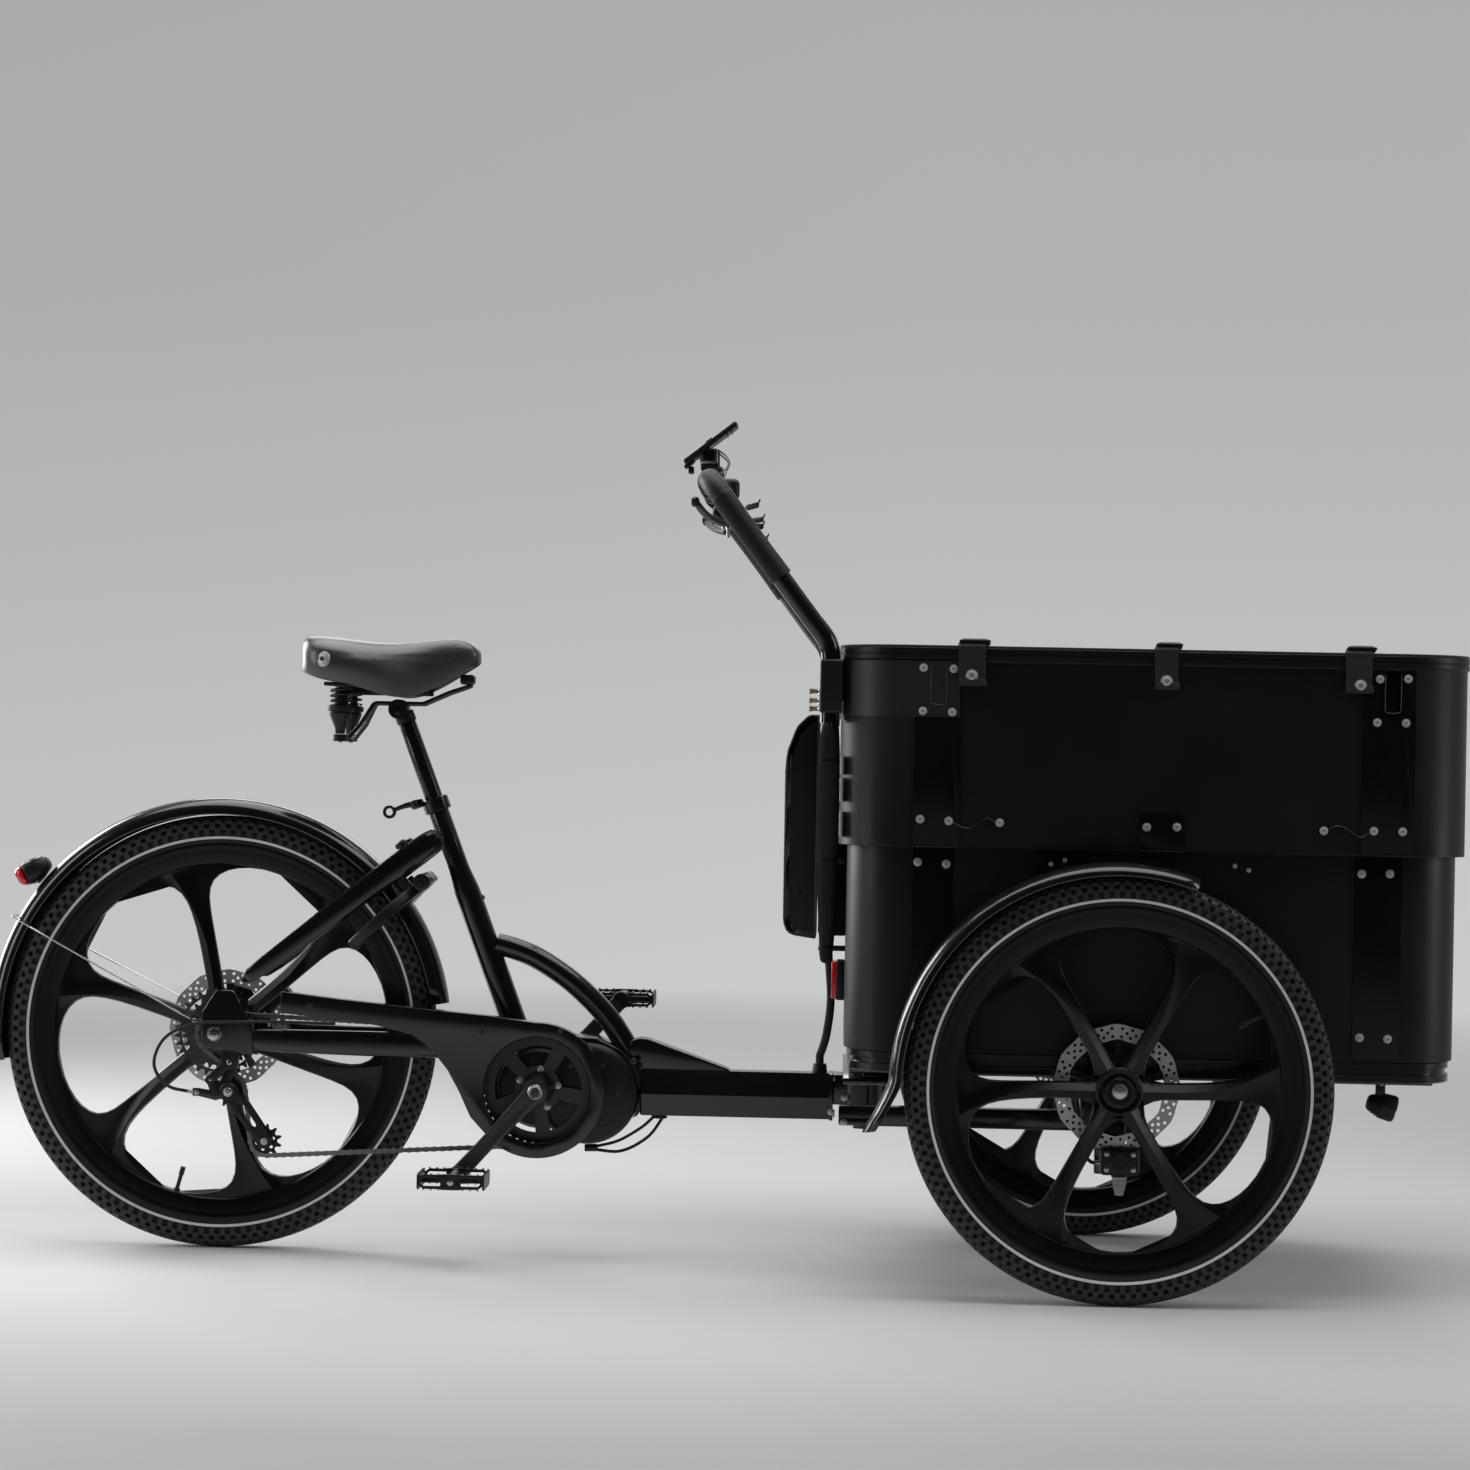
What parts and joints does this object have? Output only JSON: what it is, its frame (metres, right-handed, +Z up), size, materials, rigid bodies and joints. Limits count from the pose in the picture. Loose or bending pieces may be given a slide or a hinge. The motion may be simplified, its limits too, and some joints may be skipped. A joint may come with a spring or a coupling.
{
  "type": "cargo bike",
  "caption": "Front-load cargo tricycle: a covered box that steers with its wheels on a kingpin, a mid motor, chain drive, disc brakes and a saddle of adjustable height.",
  "frame": {"origin": "on the ground, under the middle of the bounding box", "axes": "+X forward, +Y to the rider's left, +Z up"},
  "size_m": [2.2073, 0.836, 1.2733],
  "materials": {
    "frame_paint": "gloss black powder coat",
    "panel": "matte black panel",
    "moulded": "satin black",
    "wheel": "satin black moulding",
    "tyre": "matte black with a pale stripe",
    "rubber": "matte black",
    "grip": "olive grey",
    "saddle": "grained black",
    "steel": "brushed",
    "dark_steel": "dark plated",
    "cover": "coated black fabric",
    "lens": "red, clear"
  },
  "bodies": {
    "rear_frame": {"main_tube": "frame_paint", "seat_tube": "frame_paint", "arch_tube": "frame_paint", "motor_cradle": "frame_paint", "motor": "moulded", "chainstay_right": "frame_paint", "chainstay_left": "frame_paint", "seatstay_right": "frame_paint", "seatstay_left": "frame_paint", "seat_collar": "frame_paint", "rear_axle": "steel", "rear_mudguard": "frame_paint", "mudguard_stay": "steel", "rear_light": "lens", "ring_lock": "moulded", "chain_guard": "frame_paint", "rear_caliper": "moulded", "derailleur_body": "moulded", "chain": "dark_steel", "shift_cable": "rubber", "motor_cable": "rubber"},
    "seat_post": {"seat_post": "frame_paint", "saddle_rails": "dark_steel", "saddle": "saddle", "saddle_spring_right": "rubber", "saddle_spring_left": "rubber"},
    "seat_lever": {"seat_lever": "dark_steel"},
    "lock_shackle": {"lock_shackle": "steel"},
    "derailleur_cage": {"derailleur_cage": "dark_steel"},
    "jockey_upper": {"jockey_wheel_upper": "moulded"},
    "jockey_lower": {"jockey_wheel_lower": "moulded"},
    "crank": {"crank_right": "moulded", "crank_left": "moulded"},
    "pedal_right": {"pedal_right": "moulded"},
    "pedal_left": {"pedal_left": "moulded"},
    "rear_wheel": {"rear_wheel": "wheel", "rear_tyre": "tyre"},
    "cassette": {"cassette": "dark_steel"},
    "front_module": {"front_subframe": "frame_paint", "box_base": "frame_paint", "box_lower": "panel", "box_upper": "panel", "handlebar_bracket": "frame_paint", "front_mudguard_right": "frame_paint", "front_mudguard_left": "frame_paint", "cable_loom": "rubber"},
    "box_cover": {"box_cover": "cover"},
    "battery": {"battery": "moulded"},
    "headlight": {"headlight": "moulded"},
    "handlebar": {"handlebar": "frame_paint", "grip_right": "grip", "grip_left": "grip", "display": "moulded", "shifter": "moulded"},
    "brake_lever_right": {"brake_lever_right": "moulded"},
    "brake_lever_left": {"brake_lever_left": "moulded"},
    "front_wheel_right": {"front_wheel_right": "wheel", "front_tyre_right": "tyre"},
    "front_wheel_left": {"front_wheel_left": "wheel", "front_tyre_left": "tyre"}
  },
  "joints": [
    {"name": "steering", "type": "hinge", "parent": "rear_frame", "child": "front_module", "pos_m": [0.238, 0, 0.26], "axis": [0, 0, 1], "range_deg": [-30, 30]},
    {"name": "seat_height", "type": "slide", "parent": "rear_frame", "child": "seat_post", "axis": [-0.3554, 0, 0.9347], "range_m": [-0.08, 0.1]},
    {"name": "seat_lever_open", "type": "hinge", "parent": "rear_frame", "child": "seat_lever", "pos_m": [-0.45502, -0.0172, 0.682], "axis": [-0.3554, 0, 0.9347], "range_deg": [0, 150]},
    {"name": "lock_shackle_close", "type": "hinge", "parent": "rear_frame", "child": "lock_shackle", "pos_m": [-0.50248, 0, 0.50241], "axis": [0.6912, 0, -0.7226], "range_deg": [0, 116]},
    {"name": "derailleur_cage_swing", "type": "hinge", "parent": "rear_frame", "child": "derailleur_cage", "pos_m": [-0.722, -0.05, 0.243], "axis": [0, 1, 0], "range_deg": [-25, 20], "stiffness_Nm_per_rad": 0.4, "deforming": ["chain"]},
    {"name": "jockey_upper_spin", "type": "hinge", "parent": "derailleur_cage", "child": "jockey_upper", "pos_m": [-0.722, -0.05, 0.243], "axis": [0, 1, 0], "continuous": true},
    {"name": "jockey_lower_spin", "type": "hinge", "parent": "derailleur_cage", "child": "jockey_lower", "pos_m": [-0.668, -0.05, 0.168], "axis": [0, 1, 0], "continuous": true},
    {"name": "crank_spin", "type": "hinge", "parent": "rear_frame", "child": "crank", "pos_m": [-0.255, 0, 0.256], "axis": [0, 1, 0], "continuous": true},
    {"name": "pedal_right_spin", "type": "hinge", "parent": "crank", "child": "pedal_right", "pos_m": [-0.36875, -0.16, 0.12967], "axis": [0, 1, 0], "continuous": true},
    {"name": "pedal_left_spin", "type": "hinge", "parent": "crank", "child": "pedal_left", "pos_m": [-0.14125, 0.16, 0.38233], "axis": [0, 1, 0], "continuous": true},
    {"name": "rear_wheel_spin", "type": "hinge", "parent": "rear_frame", "child": "rear_wheel", "pos_m": [-0.7444, 0, 0.3295], "axis": [0, 1, 0], "continuous": true},
    {"name": "cassette_spin", "type": "hinge", "parent": "rear_frame", "child": "cassette", "pos_m": [-0.7444, -0.045, 0.3295], "axis": [0, 1, 0], "continuous": true},
    {"name": "front_wheel_right_spin", "type": "hinge", "parent": "front_module", "child": "front_wheel_right", "pos_m": [0.5944, -0.385, 0.3035], "axis": [0, 1, 0], "continuous": true},
    {"name": "front_wheel_left_spin", "type": "hinge", "parent": "front_module", "child": "front_wheel_left", "pos_m": [0.5944, 0.385, 0.3035], "axis": [0, 1, 0], "continuous": true},
    {"name": "cover_lift", "type": "slide", "parent": "front_module", "child": "box_cover", "axis": [0, 0, 1], "range_m": [0, 0.3]},
    {"name": "battery_lift", "type": "slide", "parent": "front_module", "child": "battery", "axis": [0, 0, 1], "range_m": [0, 0.12]},
    {"name": "headlight_tilt", "type": "hinge", "parent": "front_module", "child": "headlight", "pos_m": [1.003, -0.12, 0.302], "axis": [0, 1, 0], "range_deg": [-15, 15]},
    {"name": "handlebar_height", "type": "slide", "parent": "front_module", "child": "handlebar", "axis": [0, 0, 1], "range_m": [0, 0.05]},
    {"name": "brake_lever_right_squeeze", "type": "hinge", "parent": "handlebar", "child": "brake_lever_right", "pos_m": [0.011, -0.095, 1.1125], "axis": [-0.7686, 0.3716, 0.5207], "range_deg": [0, 6], "stiffness_Nm_per_rad": 0.4},
    {"name": "brake_lever_left_squeeze", "type": "hinge", "parent": "handlebar", "child": "brake_lever_left", "pos_m": [0.011, 0.095, 1.1125], "axis": [0.7686, 0.3716, -0.5207], "range_deg": [0, 6], "stiffness_Nm_per_rad": 0.4}
  ],
  "couplings": [
    {"joint": "cassette_spin", "follows": "crank_spin", "ratio": 2.8},
    {"joint": "jockey_lower_spin", "follows": "crank_spin", "ratio": 3.8182},
    {"joint": "jockey_upper_spin", "follows": "crank_spin", "ratio": -3.8182}
  ]
}
